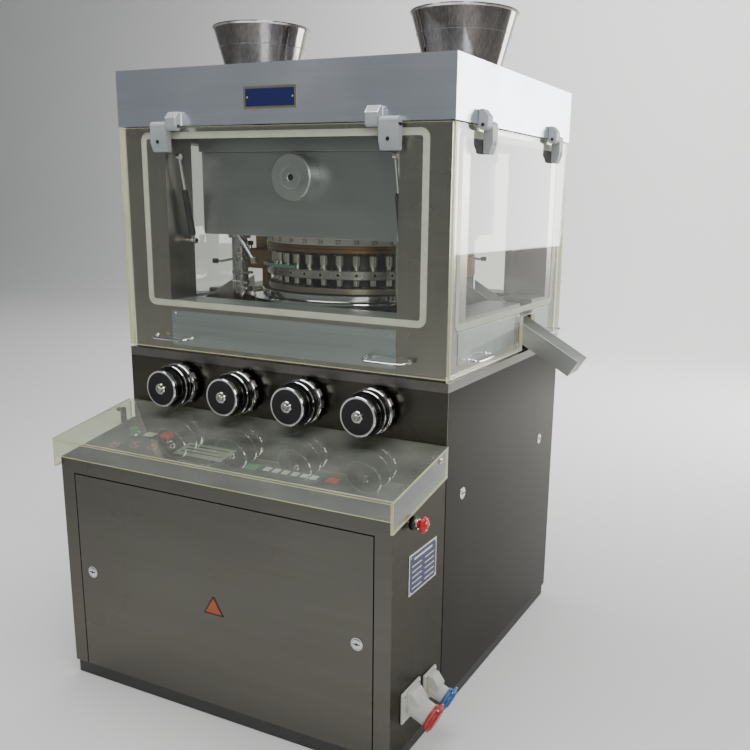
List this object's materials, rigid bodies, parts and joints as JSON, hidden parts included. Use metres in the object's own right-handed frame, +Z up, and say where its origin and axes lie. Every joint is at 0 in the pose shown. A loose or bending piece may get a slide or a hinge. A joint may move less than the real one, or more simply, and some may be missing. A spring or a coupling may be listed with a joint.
{
  "type": "tablet press",
  "caption": "Rotary tablet press in brushed stainless steel, with a glazed compression cabin, a front control console, feed hoppers and discharge chutes.",
  "frame": {"origin": "centre of the footprint on the floor, at the bottom of the plinth", "axes": "+Z up, X across the front with +X on the viewer's right when facing the console, +Y from the console to the back"},
  "size_m": [1.264, 1.082, 1.706],
  "materials": {
    "brushed_stainless": "satin brushed stainless casing sheet, long vertical grain",
    "roof_stainless": "light satin stainless roof band",
    "frame_paint": "grey primer on the inner welded frame",
    "polished_steel": "mirror polished hopper sheet",
    "chrome": "bright plated locks, rings and rods",
    "ground_steel": "turned and ground machine steel",
    "bronze": "oiled bronze",
    "cast_housing": "grey enamelled casting",
    "alloy": "cast light alloy hinge blocks, matt",
    "black_knob": "black phenolic, semi gloss",
    "acrylic": "clear cast acrylic sheet with yellow-green edges",
    "red_plastic": "red moulded plastic",
    "green_plastic": "green moulded plastic",
    "blue_plastic": "blue moulded plastic",
    "socket_grey": "light grey moulded plastic",
    "motor_paint": "blue-grey motor enamel",
    "belt_rubber": "black belt rubber"
  },
  "bodies": {
    "base": {"base_frame": "frame_paint", "deck_plate": "ground_steel", "left_side_panel": "brushed_stainless", "rear_panel": "brushed_stainless", "knob_fascia": "brushed_stainless", "console_body": "brushed_stainless", "red_socket": "socket_grey", "blue_socket": "socket_grey", "cabin_frame": "brushed_stainless", "roof_cover": "roof_stainless", "gear_housing": "cast_housing", "motor": "motor_paint", "v_belt": "belt_rubber", "cam_drum": "cast_housing", "head_housing": "cast_housing", "pressure_shaft": "ground_steel", "feeder_left": "bronze", "feeder_right": "bronze", "chute_left": "ground_steel", "chute_right": "ground_steel"},
    "front_door": {"front_door": "acrylic", "door_hinge_left": "alloy", "door_hinge_right": "alloy"},
    "rear_door": {"rear_door": "acrylic"},
    "right_door": {"right_door": "acrylic"},
    "left_door": {"left_door": "acrylic"},
    "strut_cylinder_left": {"strut_cylinder_left": "black_knob"},
    "strut_rod_left": {"strut_rod_left": "chrome"},
    "strut_cylinder_right": {"strut_cylinder_right": "black_knob"},
    "strut_rod_right": {"strut_rod_right": "chrome"},
    "turret": {"turret": "ground_steel", "upper_punch_ring": "bronze", "lower_punch_ring": "ground_steel", "main_shaft": "ground_steel", "worm_wheel": "bronze"},
    "worm_shaft": {"worm_shaft": "ground_steel"},
    "motor_pulley": {"motor_pulley": "cast_housing"},
    "pressure_roller": {"pressure_roller": "ground_steel"},
    "adjuster_knob_1": {"adjuster_knob_1": "black_knob"},
    "lock_ring_1": {"lock_ring_1": "chrome"},
    "adjuster_knob_2": {"adjuster_knob_2": "black_knob"},
    "lock_ring_2": {"lock_ring_2": "chrome"},
    "adjuster_knob_3": {"adjuster_knob_3": "black_knob"},
    "lock_ring_3": {"lock_ring_3": "chrome"},
    "adjuster_knob_4": {"adjuster_knob_4": "black_knob"},
    "lock_ring_4": {"lock_ring_4": "chrome"},
    "front_panel": {"front_panel": "brushed_stainless"},
    "right_side_panel": {"right_side_panel": "brushed_stainless"},
    "front_lock_left": {"front_lock_left": "chrome"},
    "front_lock_right": {"front_lock_right": "chrome"},
    "side_lock_front": {"side_lock_front": "chrome"},
    "side_lock_rear": {"side_lock_rear": "chrome"},
    "console_cover": {"console_cover": "acrylic"},
    "start_button": {"start_button": "green_plastic"},
    "stop_button": {"stop_button": "red_plastic"},
    "emergency_stop_head": {"emergency_stop_head": "red_plastic"},
    "red_socket_lid": {"red_socket_lid": "red_plastic"},
    "blue_socket_lid": {"blue_socket_lid": "blue_plastic"},
    "hopper_left": {"hopper_left": "polished_steel"},
    "hopper_right": {"hopper_right": "polished_steel"}
  },
  "joints": [
    {"name": "front_door_hinge", "type": "hinge", "parent": "base", "child": "front_door", "pos_m": [0, -0.277, 1.413], "axis": [-1, 0, 0], "range_deg": [0, 85]},
    {"name": "rear_door_hinge", "type": "hinge", "parent": "base", "child": "rear_door", "pos_m": [0, 0.553, 1.413], "axis": [1, 0, 0], "range_deg": [0, 85]},
    {"name": "right_door_hinge", "type": "hinge", "parent": "base", "child": "right_door", "pos_m": [0.487, 0.138, 1.413], "axis": [0, -1, 0], "range_deg": [0, 85]},
    {"name": "left_door_hinge", "type": "hinge", "parent": "base", "child": "left_door", "pos_m": [-0.487, 0.138, 1.413], "axis": [0, 1, 0], "range_deg": [0, 85]},
    {"name": "strut_pivot_left", "type": "hinge", "parent": "base", "child": "strut_cylinder_left", "pos_m": [-0.312, -0.183, 1.132], "axis": [1, 0, 0], "range_deg": [0, 23.72]},
    {"name": "strut_travel_left", "type": "slide", "parent": "strut_cylinder_left", "child": "strut_rod_left", "axis": [0, -0.2041, 0.9789], "range_m": [0, 0.06076]},
    {"name": "strut_pivot_right", "type": "hinge", "parent": "base", "child": "strut_cylinder_right", "pos_m": [0.312, -0.183, 1.132], "axis": [1, 0, 0], "range_deg": [0, 23.72]},
    {"name": "strut_travel_right", "type": "slide", "parent": "strut_cylinder_right", "child": "strut_rod_right", "axis": [0, -0.2041, 0.9789], "range_m": [0, 0.06076]},
    {"name": "turret_spin", "type": "hinge", "parent": "base", "child": "turret", "pos_m": [0, 0.138, 1.055], "axis": [0, 0, 1], "continuous": true},
    {"name": "worm_spin", "type": "hinge", "parent": "base", "child": "worm_shaft", "pos_m": [0, -0.006, 0.71], "axis": [1, 0, 0], "continuous": true},
    {"name": "motor_spin", "type": "hinge", "parent": "base", "child": "motor_pulley", "pos_m": [0.26, -0.006, 0.18], "axis": [1, 0, 0], "continuous": true},
    {"name": "pressure_roller_spin", "type": "hinge", "parent": "base", "child": "pressure_roller", "pos_m": [0.015, -0.087, 1.295], "axis": [0, 1, 0], "continuous": true},
    {"name": "adjuster_knob_1_turn", "type": "hinge", "parent": "base", "child": "adjuster_knob_1", "pos_m": [-0.291, -0.325, 0.764], "axis": [0, -1, 0], "continuous": true},
    {"name": "lock_ring_1_turn", "type": "hinge", "parent": "base", "child": "lock_ring_1", "pos_m": [-0.291, -0.29, 0.764], "axis": [0, -1, 0], "continuous": true},
    {"name": "adjuster_knob_2_turn", "type": "hinge", "parent": "base", "child": "adjuster_knob_2", "pos_m": [-0.097, -0.325, 0.764], "axis": [0, -1, 0], "continuous": true},
    {"name": "lock_ring_2_turn", "type": "hinge", "parent": "base", "child": "lock_ring_2", "pos_m": [-0.097, -0.29, 0.764], "axis": [0, -1, 0], "continuous": true},
    {"name": "adjuster_knob_3_turn", "type": "hinge", "parent": "base", "child": "adjuster_knob_3", "pos_m": [0.097, -0.325, 0.764], "axis": [0, -1, 0], "continuous": true},
    {"name": "lock_ring_3_turn", "type": "hinge", "parent": "base", "child": "lock_ring_3", "pos_m": [0.097, -0.29, 0.764], "axis": [0, -1, 0], "continuous": true},
    {"name": "adjuster_knob_4_turn", "type": "hinge", "parent": "base", "child": "adjuster_knob_4", "pos_m": [0.291, -0.325, 0.764], "axis": [0, -1, 0], "continuous": true},
    {"name": "lock_ring_4_turn", "type": "hinge", "parent": "base", "child": "lock_ring_4", "pos_m": [0.291, -0.29, 0.764], "axis": [0, -1, 0], "continuous": true},
    {"name": "front_panel_lift_off", "type": "slide", "parent": "base", "child": "front_panel", "axis": [0, -1, 0], "range_m": [0, 0.25]},
    {"name": "right_panel_lift_off", "type": "slide", "parent": "base", "child": "right_side_panel", "axis": [1, 0, 0], "range_m": [0, 0.06]},
    {"name": "front_lock_left_turn", "type": "hinge", "parent": "front_panel", "child": "front_lock_left", "pos_m": [-0.391, -0.527, 0.303], "axis": [0, -1, 0], "range_deg": [0, 90]},
    {"name": "front_lock_right_turn", "type": "hinge", "parent": "front_panel", "child": "front_lock_right", "pos_m": [0.391, -0.527, 0.303], "axis": [0, -1, 0], "range_deg": [0, 90]},
    {"name": "side_lock_front_turn", "type": "hinge", "parent": "right_side_panel", "child": "side_lock_front", "pos_m": [0.475, -0.164, 0.556], "axis": [1, 0, 0], "range_deg": [0, 90]},
    {"name": "side_lock_rear_turn", "type": "hinge", "parent": "right_side_panel", "child": "side_lock_rear", "pos_m": [0.475, 0.41, 0.556], "axis": [1, 0, 0], "range_deg": [0, 90]},
    {"name": "console_cover_hinge", "type": "hinge", "parent": "base", "child": "console_cover", "pos_m": [0, -0.315, 0.678], "axis": [-1, 0, 0], "range_deg": [0, 28]},
    {"name": "start_button_press", "type": "slide", "parent": "base", "child": "start_button", "axis": [0, 0.1838, -0.983], "range_m": [0, 0.005], "stiffness_N_per_m": 800, "springref_m": -0.002},
    {"name": "stop_button_press", "type": "slide", "parent": "base", "child": "stop_button", "axis": [0, 0.1838, -0.983], "range_m": [0, 0.005], "stiffness_N_per_m": 800, "springref_m": -0.002},
    {"name": "emergency_stop_press", "type": "slide", "parent": "base", "child": "emergency_stop_head", "axis": [-1, 0, 0], "range_m": [0, 0.005], "stiffness_N_per_m": 1500, "springref_m": -0.002},
    {"name": "red_socket_lid_hinge", "type": "hinge", "parent": "base", "child": "red_socket_lid", "pos_m": [0.55369, -0.434, 0.14309], "axis": [0, -1, 0], "range_deg": [0, 100], "stiffness_Nm_per_rad": 0.4, "springref_deg": -11.46},
    {"name": "blue_socket_lid_hinge", "type": "hinge", "parent": "base", "child": "blue_socket_lid", "pos_m": [0.54353, -0.335, 0.12996], "axis": [0, -1, 0], "range_deg": [0, 100], "stiffness_Nm_per_rad": 0.4, "springref_deg": -11.46},
    {"name": "hopper_left_lift_off", "type": "slide", "parent": "base", "child": "hopper_left", "axis": [0, 0, 1], "range_m": [0, 0.2]},
    {"name": "hopper_right_lift_off", "type": "slide", "parent": "base", "child": "hopper_right", "axis": [0, 0, 1], "range_m": [0, 0.2]}
  ],
  "couplings": [
    {"joint": "strut_pivot_left", "follows": "front_door_hinge", "ratio": 0.27672},
    {"joint": "strut_travel_left", "follows": "front_door_hinge", "m_per_rad": 0.04062},
    {"joint": "strut_pivot_right", "follows": "front_door_hinge", "ratio": 0.27672},
    {"joint": "strut_travel_right", "follows": "front_door_hinge", "m_per_rad": 0.04062},
    {"joint": "worm_spin", "follows": "turret_spin", "ratio": 24},
    {"joint": "motor_spin", "follows": "turret_spin", "ratio": 52.235}
  ]
}
